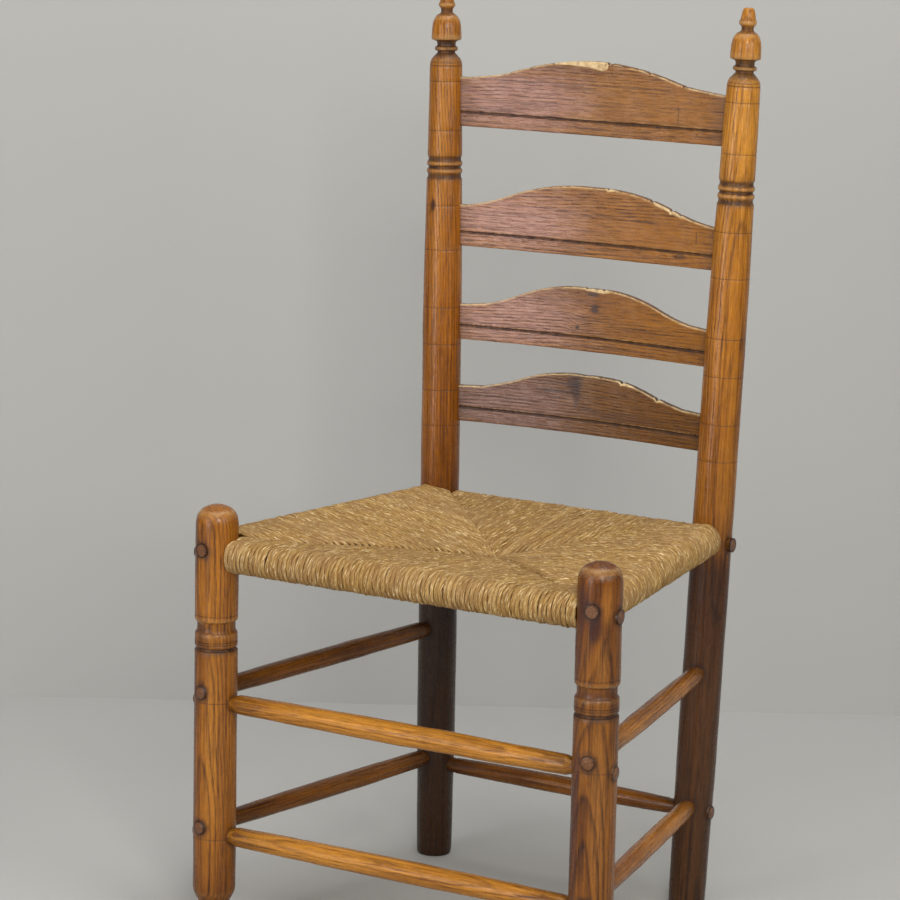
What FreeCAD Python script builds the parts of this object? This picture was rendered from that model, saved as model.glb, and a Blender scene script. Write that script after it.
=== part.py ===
import FreeCAD, Part
import Sketcher
import math
import os

# Ladderback chair: four turned posts, four arched slats, round seat rails and
# stretchers, and a woven rush seat. Millimetres, +Z up, +X to the sitter's left
# when seen from the front, the front at -Y. The origin is under the middle.

doc = FreeCAD.newDocument("LadderbackChair")
sheet = doc.addObject("Spreadsheet::Sheet", "Sizes")
workings = doc.addObject("Spreadsheet::Sheet", "Workings")


class Size:
    """A number that also knows the sheet expression it came from."""

    def __init__(self, value, text):
        self.value = float(value)
        self.text = text

    def __add__(self, other):
        other = asSize(other)
        return Size(self.value + other.value, "(%s + %s)" % (self.text, other.text))

    def __sub__(self, other):
        other = asSize(other)
        return Size(self.value - other.value, "(%s - %s)" % (self.text, other.text))

    def __mul__(self, other):
        other = asSize(other)
        return Size(self.value * other.value, "(%s * %s)" % (self.text, other.text))

    def __truediv__(self, other):
        other = asSize(other)
        return Size(self.value / other.value, "(%s / %s)" % (self.text, other.text))

    def __neg__(self):
        return Size(-self.value, "(-1 * %s)" % self.text)

    __radd__ = __add__
    __rmul__ = __mul__

    def __rsub__(self, other):
        return asSize(other) - self

    def root(self):
        return Size(self.value ** 0.5, "sqrt(%s)" % self.text)


def asSize(number):
    if isinstance(number, Size):
        return number
    return Size(number, repr(float(number)))


rows = {sheet: 0, workings: 0}


def writeRow(page, name, text):
    rows[page] += 1
    page.set("A%d" % rows[page], name)
    page.set("B%d" % rows[page], text)
    page.setAlias("B%d" % rows[page], name)


def size(name, value):
    """One driving dimension, as a plain number in the sheet of sizes."""
    writeRow(sheet, name, str(value))
    return Size(value, "Sizes." + name)


def worked(name, result):
    """A value that follows from the sizes, kept in the sheet of workings."""
    writeRow(workings, name, "=" + result.text)
    return Size(result.value, "Workings." + name)


# Plan of the frame, measured between post centres at seat level
frontWidth = size("front_width", 468)
backWidth = size("back_width", 352)
seatDepth = size("seat_depth", 370)
seatLevel = size("seat_level", 410)

# Lean of the back posts over their whole height
backRake = size("back_rake", 27.5)
backSplay = size("back_splay", 23.5)

# Front posts
frontPostDia = size("front_post_dia", 47)
frontFootDia = size("front_foot_dia", 30)
frontFootHeight = size("front_foot_height", 25)
frontFootSwell = size("front_foot_swell", 4.2)
frontAnkleDia = size("front_ankle_dia", 35)
frontAnkleHeight = size("front_ankle_height", 5)
frontToeRound = size("front_toe_round", 15)
collarHeight = size("collar_height", 311)
collarGroove = size("collar_groove", 4)
collarGrooveDepth = size("collar_groove_depth", 2.2)
collarBulb = size("collar_bulb", 16)
collarBulbSwell = size("collar_bulb_swell", 1.7)
collarCove = size("collar_cove", 9.5)
collarCoveDepth = size("collar_cove_depth", 2.6)
collarShoulder = size("collar_shoulder", 3.5)
domeRise = size("dome_rise", 6)
domeEdge = size("dome_edge", 10)
domeTaper = size("dome_taper", 24)
domeDia = size("dome_dia", 37)
domeNubDia = size("dome_nub_dia", 3)

# Back posts, upwards from the floor
backPostDia = size("back_post_dia", 44.6)
backFootDia = size("back_foot_dia", 38)
backAnkleDia = size("back_ankle_dia", 41)
backFootRound = size("back_foot_round", 7)
backCalfHeight = size("back_calf_height", 170)
backWaistHeight = size("back_waist_height", 630)
ringDia = size("ring_dia", 40.6)
ringCove = size("ring_cove", 6.5)
ringBead = size("ring_bead", 5)
ringGap = size("ring_gap", 3.3)
ringDepth = size("ring_depth", 1.8)
backNeckDia = size("back_neck_dia", 36.8)
shoulderRound = size("shoulder_round", 9)
shoulderSlope = size("shoulder_slope", 5)

# Acorn finials, upwards from the shoulder
finialCove = size("finial_cove", 6.2)
finialWaistDia = size("finial_waist_dia", 20)
finialRing = size("finial_ring", 4)
finialRingDia = size("finial_ring_dia", 26)
finialNeck = size("finial_neck", 7.3)
acornLip = size("acorn_lip", 1.5)
acornHeight = size("acorn_height", 28)
acornDia = size("acorn_dia", 33.6)
acornTaper = size("acorn_taper", 0.6)
acornDome = size("acorn_dome", 14)
acornSwell = size("acorn_swell", 2.4)
tipNeck = size("tip_neck", 8.7)
tipNeckDia = size("tip_neck_dia", 13)
tipBead = size("tip_bead", 3.9)
tipDia = size("tip_dia", 17)
tipHeight = size("tip_height", 13.4)
tipEndDia = size("tip_end_dia", 11)

# Round rungs: their tenons, barrels and heights at the post centres
tenonDia = size("tenon_dia", 16)
tenonGap = size("tenon_gap", 0.15)
tenonProud = size("tenon_proud", 1.2)
railProud = size("rail_proud", 4)
rungTaper = size("rung_taper", 9)
frontRungDia = size("front_rung_dia", 21)
frontRungSwell = size("front_rung_swell", 1.7)
sideRungDia = size("side_rung_dia", 19.6)
sideRungSwell = size("side_rung_swell", 1.1)
backRungDia = size("back_rung_dia", 18.4)
backRungSwell = size("back_rung_swell", 1.3)
railDia = size("rail_dia", 22)
crossRailHeight = size("cross_rail_height", 417)
frontUpperHeight = size("front_upper_height", 253.5)
frontLowerHeight = size("front_lower_height", 104)

# Steps up from the cross rails to a front post's top and to the bottom slat, from slat
# to slat, and from the slats to the rings and to the shoulder under the finial
postStep = size("post_step", 53)
bottomSlatStep = size("bottom_slat_step", 99.4)
thirdSlatStep = size("third_slat_step", 94.6)
secondSlatStep = size("second_slat_step", 107.5)
topSlatStep = size("top_slat_step", 136.5)
ringStep = size("ring_step", 76)
shoulderStep = size("shoulder_step", 74)

# Steps up from a front or back tenon to the side tenon that notches it
railLock = size("rail_lock", 7)
upperLock = size("upper_lock", 13)
lowerLock = size("lower_lock", 10.5)
backLock = size("back_lock", 9)
sideUpperRise = size("side_upper_rise", 6)
sideLowerRise = size("side_lower_rise", 4)

# Slats: the sizes they share
slatThickness = size("slat_thickness", 9)
slatSetback = size("slat_setback", 6)
slatLevelReach = size("slat_level_reach", 26)
slotGap = size("slot_gap", 0.15)
quirkHeight = size("quirk_height", 14.4)
quirkWidth = size("quirk_width", 2.8)
quirkDepth = size("quirk_depth", 1.6)
reedGap = size("reed_gap", 3.2)
reedLine = size("reed_line", 1.2)
reedDepth = size("reed_depth", 0.9)

# Each slat: the heights of its outline over its lower edge (end, rise, shoulder height,
# crest), the half widths where it changes (flat, shoulder), the arcs between them (dip,
# swell) and its bend backwards (bow)
topSlatEnd = size("top_slat_end", 55.5)
topSlatRise = size("top_slat_rise", 4)
topSlatFlat = size("top_slat_flat", 128)
topSlatShoulder = size("top_slat_shoulder", 106)
topSlatShoulderHeight = size("top_slat_shoulder_height", 64)
topSlatDip = size("top_slat_dip", 0.5)
topSlatCrest = size("top_slat_crest", 82.5)
topSlatSwell = size("top_slat_swell", 4)
topSlatBow = size("top_slat_bow", 8)
secondSlatEnd = size("second_slat_end", 47)
secondSlatRise = size("second_slat_rise", 1.5)
secondSlatFlat = size("second_slat_flat", 148)
secondSlatShoulder = size("second_slat_shoulder", 105)
secondSlatShoulderHeight = size("second_slat_shoulder_height", 60.5)
secondSlatDip = size("second_slat_dip", 1)
secondSlatCrest = size("second_slat_crest", 78.5)
secondSlatSwell = size("second_slat_swell", 5.6)
secondSlatBow = size("second_slat_bow", 11)
thirdSlatEnd = size("third_slat_end", 40.5)
thirdSlatRise = size("third_slat_rise", 2.5)
thirdSlatFlat = size("third_slat_flat", 130)
thirdSlatShoulder = size("third_slat_shoulder", 90)
thirdSlatShoulderHeight = size("third_slat_shoulder_height", 55.5)
thirdSlatDip = size("third_slat_dip", 1.2)
thirdSlatCrest = size("third_slat_crest", 71.5)
thirdSlatSwell = size("third_slat_swell", 5.5)
thirdSlatBow = size("third_slat_bow", 17)
bottomSlatEnd = size("bottom_slat_end", 41)
bottomSlatRise = size("bottom_slat_rise", 1.5)
bottomSlatFlat = size("bottom_slat_flat", 128)
bottomSlatShoulder = size("bottom_slat_shoulder", 88)
bottomSlatShoulderHeight = size("bottom_slat_shoulder_height", 52.5)
bottomSlatDip = size("bottom_slat_dip", 0.4)
bottomSlatCrest = size("bottom_slat_crest", 67)
bottomSlatSwell = size("bottom_slat_swell", 5.3)
bottomSlatBow = size("bottom_slat_bow", 16)

# Rush seat
rushThickness = size("rush_thickness", 7)
rushGap = size("rush_gap", 0.4)
dishSag = size("dish_sag", 8)
dishThickness = size("dish_thickness", 18)
dishSwell = size("dish_swell", 4)
seamBridge = size("seam_bridge", 11)
pocketWall = size("pocket_wall", 2)
pocketSeam = size("pocket_seam", 5)

doc.recompute()

# Heights and places that follow from the sizes
frontPostHeight = crossRailHeight + postStep
bottomSlatHeight = worked("bottom_slat_height", crossRailHeight + bottomSlatStep)
thirdSlatHeight = worked("third_slat_height", bottomSlatHeight + thirdSlatStep)
secondSlatHeight = worked("second_slat_height", thirdSlatHeight + secondSlatStep)
topSlatHeight = worked("top_slat_height", secondSlatHeight + topSlatStep)
ringHeight = secondSlatHeight + ringStep
shoulderHeight = worked("shoulder_height", topSlatHeight + shoulderStep)
finialHeight = (shoulderSlope + finialCove + finialRing + finialNeck + acornLip + acornHeight
                + tipNeck + tipBead + tipHeight)
backHeight = worked("back_height", shoulderHeight + finialHeight)
rakeSlope = worked("rake_slope", backRake / backHeight)
splaySlope = worked("splay_slope", backSplay / backHeight)
backReach = seatDepth + rakeSlope * (shoulderHeight - seatLevel) + backNeckDia / 2
frontReach = frontPostDia / 2 + tenonProud
frontLine = worked("front_line", (frontReach - backReach) / 2)
sideRailHeight = crossRailHeight + railLock
sideUpperFront = frontUpperHeight + upperLock
sideUpperBack = sideUpperFront + sideUpperRise
sideLowerFront = frontLowerHeight + lowerLock
sideLowerBack = sideLowerFront + sideLowerRise
backRungHeight = sideLowerBack - backLock
dishTop = crossRailHeight - dishSag
dishBottom = dishTop - dishThickness


def frontAxis(side, height):
    """Point on a front post's centre line; side is -1 or 1 along X."""
    return (frontWidth / 2 * side, frontLine, asSize(height))


def backAxis(side, height):
    above = height - seatLevel
    x = (backWidth / 2 + splaySlope * above) * side
    y = frontLine + seatDepth + rakeSlope * above
    return (x, y, asSize(height))


def newBody(name):
    return doc.addObject("PartDesign::Body", name)


def sketchOn(body, role, name):
    sketch = body.newObject("Sketcher::SketchObject", name)
    for plane in body.Origin.OriginFeatures:
        if plane.Role == role:
            sketch.AttachmentSupport = (plane, [""])
    sketch.MapMode = "FlatFace"
    return sketch


def drawOutline(sketch, start, steps):
    """Closed outline from start through steps of (x, y) or (x, y, bulge).

    A bulge is an arc's rise over its chord, to the left of the way it is drawn.
    """
    points = [start] + [step[:2] for step in steps]
    bulges = [asSize(step[2]) if len(step) > 2 else None for step in steps] + [None]
    places = [FreeCAD.Vector(asSize(x).value, asSize(y).value, 0) for x, y in points]
    count = len(points)
    ends = []
    for i in range(count):
        a = places[i]
        b = places[(i + 1) % count]
        if bulges[i] is None:
            sketch.addGeometry(Part.LineSegment(a, b), False)
            ends.append((1, 2))
        else:
            sketch.addGeometry(arcThrough(a, b, bulges[i].value), False)
            ends.append((2, 1) if bulges[i].value > 0 else (1, 2))
    for i in range(count):
        following = (i + 1) % count
        sketch.addConstraint(Sketcher.Constraint("Coincident", i, ends[i][1], following, ends[following][0]))
    for i in range(count):
        for kind, axis, coordinate in (("DistanceX", -2, points[i][0]), ("DistanceY", -1, points[i][1])):
            pinCoordinate(sketch, kind, axis, i, ends[i][0], asSize(coordinate))
    for i in range(count):
        if bulges[i] is not None:
            pinRadius(sketch, i, points[i], points[(i + 1) % count], bulges[i])


def arcThrough(a, b, bulge):
    """Arc between two points that rises over its chord to the left of a to b."""
    chord = b - a
    left = FreeCAD.Vector(-chord.y, chord.x, 0).normalize()
    radius = (chord.Length ** 2 / 4 + bulge ** 2) / (2 * abs(bulge))
    toCentre = bulge - radius if bulge > 0 else bulge + radius
    centre = (a + b) * 0.5 + left * toCentre
    first, last = (b, a) if bulge > 0 else (a, b)
    circle = Part.Circle(centre, FreeCAD.Vector(0, 0, 1), radius)
    angles = [math.atan2(point.y - centre.y, point.x - centre.x) for point in (first, last)]
    if angles[1] < angles[0]:
        angles[1] += 2 * math.pi
    return Part.ArcOfCircle(circle, angles[0], angles[1])


def pinCoordinate(sketch, kind, axis, edge, end, coordinate):
    """Hold one coordinate of a point at a size measured from the sketch's origin."""
    if abs(coordinate.value) < 1e-9:
        sketch.addConstraint(Sketcher.Constraint("PointOnObject", edge, end, axis))
    elif coordinate.value > 0:
        at = sketch.addConstraint(Sketcher.Constraint(kind, -1, 1, edge, end, coordinate.value))
        sketch.setExpression("Constraints[%d]" % at, coordinate.text)
    else:
        at = sketch.addConstraint(Sketcher.Constraint(kind, edge, end, -1, 1, -coordinate.value))
        sketch.setExpression("Constraints[%d]" % at, (-coordinate).text)


def pinRadius(sketch, edge, a, b, bulge):
    across = asSize(b[0]) - a[0]
    along = asSize(b[1]) - a[1]
    rise = bulge if bulge.value > 0 else -bulge
    radius = ((across * across + along * along) / 4 + rise * rise) / (2 * rise)
    at = sketch.addConstraint(Sketcher.Constraint("Radius", edge, radius.value))
    sketch.setExpression("Constraints[%d]" % at, radius.text)


class Arch:
    """A small bead or cove between two points of a turned outline.

    It is worked out as a few short cones, which keeps the solid light; the middle
    of the stretch rises outward and upward by the two sizes.
    """

    def __init__(self, outward, upward=0, count=2):
        self.lift = (outward, upward)
        self.count = count

    def between(self, a, b):
        points = []
        for i in range(1, self.count):
            share = i / self.count
            rise = 4 * share * (1 - share)
            points.append(tuple(asSize(p) + (asSize(q) - p) * share + lift * rise
                                for p, q, lift in zip(a, b, self.lift)))
        return points


def turned(name, start, steps):
    """Body turned about its own Z axis from an outline of (radius, height) steps."""
    outline = []
    for i in range(len(steps)):
        if isinstance(steps[i], Arch):
            outline += steps[i].between(steps[i - 1], steps[i + 1])
        else:
            outline.append(steps[i])
    body = newBody(name)
    sketch = sketchOn(body, "XZ_Plane", name + "Profile")
    drawOutline(sketch, start, outline)
    turning = body.newObject("PartDesign::Revolution", name + "Turning")
    turning.Profile = sketch
    turning.ReferenceAxis = (sketch, ["V_Axis"])
    turning.Angle = 360
    return body


def padded(name, role, start, steps, length, middle=False):
    body = newBody(name)
    sketch = sketchOn(body, role, name + "Outline")
    drawOutline(sketch, start, steps)
    pad = body.newObject("PartDesign::Pad", name + "Pad")
    pad.Profile = sketch
    pad.Length = length.value
    pad.setExpression("Length", length.text)
    pad.Midplane = middle
    return body


def cylinder(name, radius, height):
    solid = doc.addObject("Part::Cylinder", name)
    solid.setExpression("Radius", radius.text)
    solid.setExpression("Height", height.text)
    return solid


def box(name, length, width, height):
    solid = doc.addObject("Part::Box", name)
    solid.setExpression("Length", length.text)
    solid.setExpression("Width", width.text)
    solid.setExpression("Height", height.text)
    return solid


def place(solid, point, rotation="create(<<rotation>>; 0; 0; 0)"):
    corner = "; ".join(asSize(value).text for value in point)
    solid.setExpression("Placement", "create(<<placement>>; create(<<vector>>; %s); %s)" % (corner, rotation))


def pointing(a, b):
    """Rotation that turns +Z to the way from point a to point b."""
    across = asSize(b[0]) - a[0]
    along = asSize(b[1]) - a[1]
    up = asSize(b[2]) - a[2]
    axis = "create(<<vector>>; %s; %s; 0)" % ((-along).text, across.text)
    reach = (across * across + along * along).root()
    return "create(<<rotation>>; %s; atan2(%s; %s))" % (axis, reach.text, up.text)


def distance(a, b):
    across = asSize(b[0]) - a[0]
    along = asSize(b[1]) - a[1]
    up = asSize(b[2]) - a[2]
    return (across * across + along * along + up * up).root()


def combine(kind, name, parts):
    solid = doc.addObject(kind, name)
    solid.Shapes = parts
    return solid


def cut(name, base, tool):
    solid = doc.addObject("Part::Cut", name)
    solid.Base = base
    solid.Tool = tool
    return solid


pieces = []


def finish(solid, label):
    solid.Label = label
    pieces.append(solid)
    return solid


# Front posts: turned foot, long shaft, collar of groove, bulb and cove, domed top
def frontPostBlank(name):
    shaft = frontPostDia / 2
    ankle = frontAnkleDia / 2
    toe = frontFootHeight + frontAnkleHeight
    groove = shaft - collarGrooveDepth
    bulbEnd = collarHeight + collarGroove + collarBulb
    coveEnd = bulbEnd + collarCove
    coveLip = shaft - collarCoveDepth
    domeFoot = frontPostHeight - domeRise
    taperFoot = domeFoot - domeEdge - domeTaper
    steps = [
        (0, frontPostHeight),
        (domeNubDia / 2, frontPostHeight),
        Arch(0, domeRise / 4),
        (domeDia / 2, domeFoot),
        Arch(domeRise / 6, domeRise / 9),
        (shaft - domeRise / 5, domeFoot - domeEdge),
        (shaft, taperFoot),
        (shaft, coveEnd + collarShoulder),
        (coveLip + collarCoveDepth / 4, coveEnd),
        Arch(-collarCoveDepth / 2),
        (coveLip, bulbEnd),
        Arch(collarBulbSwell),
        (shaft - collarBulbSwell / 2, collarHeight + collarGroove),
        (groove, collarHeight + collarGroove * 0.8),
        (groove, collarHeight + collarGroove * 0.2),
        (shaft, collarHeight),
        (shaft, toe + frontToeRound),
        Arch(frontFootSwell / 3),
        (ankle + frontFootSwell / 2, toe),
        (ankle, toe - frontAnkleHeight / 5),
        (ankle, frontFootHeight),
        Arch(frontFootSwell, 0, 3),
        (frontFootDia / 2, 0),
    ]
    return turned(name, (0, 0), steps)


# Back posts: swelling shaft, a set of rings under the neck, and an acorn finial
def backPostBlank(name):
    belly = backPostDia / 2
    ring = ringDia / 2
    low = ring - ringDepth
    neck = backNeckDia / 2
    waist = finialWaistDia / 2
    rings = ringHeight + ringCove * 2 + ringBead * 2 + ringGap
    coveFoot = shoulderHeight + shoulderSlope
    ringFoot = coveFoot + finialCove
    neckFoot = ringFoot + finialRing
    lip = neckFoot + finialNeck
    acornTop = lip + acornLip + acornHeight
    tipFoot = acornTop + tipNeck
    coneFoot = tipFoot + tipBead
    steps = [
        (0, backHeight),
        (tipEndDia / 2, backHeight),
        (tipDia / 2, coneFoot),
        Arch(tipBead / 4),
        (tipDia / 2, tipFoot),
        (tipNeckDia / 2 + tipBead / 5, tipFoot - tipNeck / 8),
        Arch(-tipBead / 4),
        (tipNeckDia / 2 + tipBead / 3, acornTop),
        Arch(acornSwell, acornSwell * 0.6, 4),
        (acornDia / 2 - acornTaper, acornTop - acornDome),
        (acornDia / 2, lip + acornLip),
        (acornDia / 2 - acornLip / 2, lip),
        (waist, lip - acornLip / 4),
        (waist, neckFoot),
        (finialRingDia / 2, neckFoot - finialRing / 3),
        (finialRingDia / 2, ringFoot + finialRing / 3),
        (waist, ringFoot),
        (waist, ringFoot - finialCove / 2),
        (waist + shoulderSlope / 5, coveFoot),
        (neck - shoulderSlope / 3, shoulderHeight),
        Arch(shoulderRound / 9, shoulderRound / 15),
        (neck, shoulderHeight - shoulderRound),
        (ring - ringDepth / 4, rings),
        Arch(-ringDepth),
        (ring - ringDepth / 2, rings - ringCove),
        Arch(ringDepth / 2),
        (ring - ringDepth / 2, rings - ringCove - ringBead),
        (low, rings - ringCove - ringBead - ringGap / 4),
        (low, ringHeight + ringCove + ringBead + ringGap / 4),
        (ring - ringDepth / 2, ringHeight + ringCove + ringBead),
        Arch(ringDepth / 2),
        (ring - ringDepth / 2, ringHeight + ringCove),
        Arch(-ringDepth),
        (ring, ringHeight),
        (belly, backWaistHeight),
        (belly, backCalfHeight),
        (backAnkleDia / 2, backFootRound),
        (backFootDia / 2, -backFootRound),
    ]
    return turned(name, (0, -backFootRound), steps)


# Rungs and rails run right through their posts on round tenons
def rung(name, a, b, postA, postB, proud, endDia, swell):
    """Rung from post centre a to post centre b, and the drill that clears it."""
    tenon = tenonDia / 2
    span = worked(name + "_span", distance(a, b))
    startOut = postA / 2 + proud
    length = worked(name + "_length", span + startOut + postB / 2 + proud)
    tenonA = postA + proud
    tenonB = postB + proud
    steps = [
        (0, length),
        (tenon, length),
        (tenon, length - tenonB),
        (endDia / 2, length - tenonB - rungTaper),
        (endDia / 2, tenonA + rungTaper) + swell,
        (tenon, tenonA),
        (tenon, 0),
    ]
    body = turned(name + "Blank", (0, 0), steps)
    place(body, along(a, b, -startOut, span), pointing(a, b))
    drill = cylinder(name + "Drill", tenon + tenonGap, length + tenonDia)
    place(drill, along(a, b, -startOut - tenonDia / 2, span), pointing(a, b))
    return body, drill


def along(a, b, step, span):
    """Point on the line from a to b, which is span long, a step past a."""
    return tuple(asSize(p) + (asSize(q) - p) * (step / span) for p, q in zip(a, b))


def sideRung(name, side, front, back, proud, endDia, swell):
    a = frontAxis(side, front)
    b = backAxis(side, back)
    return rung(name, a, b, frontPostDia, backPostDia, proud, endDia, swell)


def frontRung(name, height, proud, endDia, swell):
    ends = (frontAxis(-1, height), frontAxis(1, height))
    return rung(name, ends[0], ends[1], frontPostDia, frontPostDia, proud, endDia, swell)


def backRung(name, height, proud, endDia, swell):
    ends = (backAxis(-1, height), backAxis(1, height))
    return rung(name, ends[0], ends[1], backPostDia, backPostDia, proud, endDia, swell)


sides = (("left", -1), ("right", 1))
sideDrills = {"rail": [], "upper": [], "lower": []}
postDrills = {"left": [], "right": []}
for word, side in sides:
    for level, front, back, endDia, swell in (
            ("rail", sideRailHeight, sideRailHeight, railDia, ()),
            ("upper", sideUpperFront, sideUpperBack, sideRungDia, (sideRungSwell,)),
            ("lower", sideLowerFront, sideLowerBack, sideRungDia, (sideRungSwell,))):
        name = word.capitalize() + level.capitalize()
        blank, drill = sideRung(name, side, front, back, tenonProud, endDia, swell)
        label = word + ("_seat_rail" if level == "rail" else "_" + level + "_stretcher")
        finish(blank, label)
        sideDrills[level].append(drill)
        postDrills[word].append(drill)

# Front and back tenons are notched where the side tenons lock through them
frontDrills = []
backDrills = []
for label, level, build, height, proud, endDia, swell, drills in (
        ("front_seat_rail", "rail", frontRung, crossRailHeight, tenonProud, railDia, (), frontDrills),
        ("back_seat_rail", "rail", backRung, crossRailHeight, railProud, railDia, (), backDrills),
        ("front_upper_stretcher", "upper", frontRung, frontUpperHeight, tenonProud, frontRungDia,
         (frontRungSwell,), frontDrills),
        ("front_lower_stretcher", "lower", frontRung, frontLowerHeight, tenonProud, frontRungDia,
         (frontRungSwell,), frontDrills),
        ("back_stretcher", "lower", backRung, backRungHeight, tenonProud, backRungDia,
         (backRungSwell,), backDrills)):
    name = "".join(part.capitalize() for part in label.split("_"))
    blank, drill = build(name, height, proud, endDia, swell)
    drills.append(drill)
    locks = combine("Part::MultiFuse", name + "Locks", sideDrills[level])
    finish(cut(name + "Notched", blank, locks), label)


# Slats: arched boards bowed backwards, with a scratched reed along the lower edge
def slat(name, height, end, rise, flat, shoulder, shoulderHigh, dip, crest, swell, bow):
    """Slat in its own frame, and the slots that its tongues fill."""
    reach = worked(name + "_reach", backAxis(1, height)[0])
    tongue = reach - slatSetback
    clear = reach - backPostDia / 2
    level = reach - slatLevelReach
    top = [
        (level, end),
        (flat, end + rise),
        (shoulder, shoulderHigh, dip),
        (0, crest, -swell),
        (-shoulder, shoulderHigh, -swell),
        (-flat, end + rise, dip),
        (-level, end),
    ]
    outline = [(tongue, 0), (tongue, end)] + top + [(-tongue, end)]
    deep = (bow + slatThickness) * 4
    board = padded(name + "Board", "XZ_Plane", (-tongue, 0), outline, deep, True)
    curve = worked(name + "_curve", (clear * clear + bow * bow) / (2 * bow))
    centre = bow - slatThickness / 2 - curve
    high = crest + slatThickness * 2
    outer = cylinder(name + "Outer", curve + slatThickness, high)
    inner = cylinder(name + "Inner", curve, high)
    quirk = cylinder(name + "Quirk", curve + quirkDepth, quirkWidth)
    reed = cylinder(name + "Reed", curve + reedDepth, reedLine)
    place(outer, (0, centre, -slatThickness))
    place(inner, (0, centre, -slatThickness))
    place(quirk, (0, centre, quirkHeight))
    place(reed, (0, centre, quirkHeight - reedGap - reedLine))
    bent = combine("Part::MultiCommon", name + "Bent", [board, outer])
    hollow = combine("Part::MultiFuse", name + "Hollow", [inner, quirk, reed])
    piece = cut(name + "Shaped", bent, hollow)

    slotHigh = end + slotGap * 2
    slotOuter = cylinder(name + "SlotOuter", curve + slatThickness + slotGap, slotHigh)
    slotInner = cylinder(name + "SlotInner", curve - slotGap, slotHigh)
    slotBox = box(name + "SlotBox", (tongue + slotGap) * 2, deep, slotHigh)
    place(slotOuter, (0, centre, -slotGap))
    place(slotInner, (0, centre, -slotGap))
    place(slotBox, (-tongue - slotGap, -deep / 2, -slotGap))
    slotBent = combine("Part::MultiCommon", name + "SlotBent", [slotOuter, slotBox])
    band = cut(name + "SlotBand", slotBent, slotInner)

    seat = backAxis(0, height)
    lean = "-atan2(%s; %s)" % (backRake.text, backHeight.text)
    tilt = "create(<<rotation>>; create(<<vector>>; 1; 0; 0); %s)" % lean
    place(piece, seat, tilt)
    place(band, seat, tilt)
    return piece, band


slots = []
for word, shape in (
        ("top", (topSlatHeight, topSlatEnd, topSlatRise, topSlatFlat, topSlatShoulder, topSlatShoulderHeight,
                 topSlatDip, topSlatCrest, topSlatSwell, topSlatBow)),
        ("second", (secondSlatHeight, secondSlatEnd, secondSlatRise, secondSlatFlat, secondSlatShoulder,
                    secondSlatShoulderHeight, secondSlatDip, secondSlatCrest, secondSlatSwell,
                    secondSlatBow)),
        ("third", (thirdSlatHeight, thirdSlatEnd, thirdSlatRise, thirdSlatFlat, thirdSlatShoulder,
                   thirdSlatShoulderHeight, thirdSlatDip, thirdSlatCrest, thirdSlatSwell, thirdSlatBow)),
        ("bottom", (bottomSlatHeight, bottomSlatEnd, bottomSlatRise, bottomSlatFlat, bottomSlatShoulder,
                    bottomSlatShoulderHeight, bottomSlatDip, bottomSlatCrest, bottomSlatSwell,
                    bottomSlatBow))):
    piece, band = slat(word.capitalize() + "Slat", *shape)
    finish(piece, word + "_slat")
    slots.append(band)


# Posts take a through hole for each tenon and a blind slot for each slat
floorSide = frontWidth * 2
floor = box("Floor", floorSide, floorSide, backFootRound * 2)
place(floor, (-frontWidth, -frontWidth, backFootRound * -2))
for word, side in sides:
    blank = frontPostBlank(word.capitalize() + "FrontPost")
    place(blank, frontAxis(side, 0))
    holes = combine("Part::MultiFuse", word.capitalize() + "FrontHoles", postDrills[word] + frontDrills)
    finish(cut(word.capitalize() + "FrontPostBored", blank, holes), "front_post_" + word)
    blank = backPostBlank(word.capitalize() + "BackPost")
    place(blank, backAxis(side, 0), pointing(backAxis(side, 0), backAxis(side, backHeight)))
    holes = combine("Part::MultiFuse", word.capitalize() + "BackHoles",
                    postDrills[word] + backDrills + slots + [floor])
    finish(cut(word.capitalize() + "BackPostBored", blank, holes), "back_post_" + word)


# Rush seat: four panels of strands, each wrapped round its own rail, meeting on
# diagonal seams and dished to the middle
halfFront = frontWidth / 2
halfBack = backWidth / 2
halfBridge = seamBridge / 2
apex = seatDepth - halfBack + halfBridge
join = apex - halfBack + halfBridge
roll = railDia / 2 + rushThickness
outward = roll * 1.5
railTurn = "atan2(%s; %s)" % ((halfFront - halfBack).text, seatDepth.text)
railMiddle = (halfFront + halfBack) / 2

plans = {
    "Front": [(-halfFront, -outward), (halfFront, -outward), (halfFront, 0), (halfBack, join),
              (halfBridge, apex), (-halfBridge, apex), (-halfBack, join), (-halfFront, 0)],
    "Back": [(-halfBack, seatDepth), (-halfBridge, apex), (halfBridge, apex), (halfBack, seatDepth),
             (halfBack, seatDepth + outward), (-halfBack, seatDepth + outward)],
    "Left": [(-halfFront - outward, 0), (-halfFront, 0), (-halfBack, join), (-halfBridge, apex),
             (-halfBack, seatDepth), (-halfBack - outward, seatDepth)],
    "Right": [(halfFront + outward, 0), (halfFront, 0), (halfBack, join), (halfBridge, apex),
              (halfBack, seatDepth), (halfBack + outward, seatDepth)],
}
turns = {
    "Front": "0 deg",
    "Back": "180 deg",
    "Left": "-90 deg - " + railTurn,
    "Right": "90 deg + " + railTurn,
}
reaches = {"Front": apex, "Back": halfBack, "Left": railMiddle, "Right": railMiddle}
railMiddles = {
    "Front": (0, frontLine, crossRailHeight),
    "Back": (0, frontLine + seatDepth, crossRailHeight),
    "Left": (-railMiddle, frontLine + seatDepth / 2, sideRailHeight),
    "Right": (railMiddle, frontLine + seatDepth / 2, sideRailHeight),
}
inwards = {"Front": (0, 1), "Back": (0, -1), "Left": (1, 0), "Right": (-1, 0)}


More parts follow.
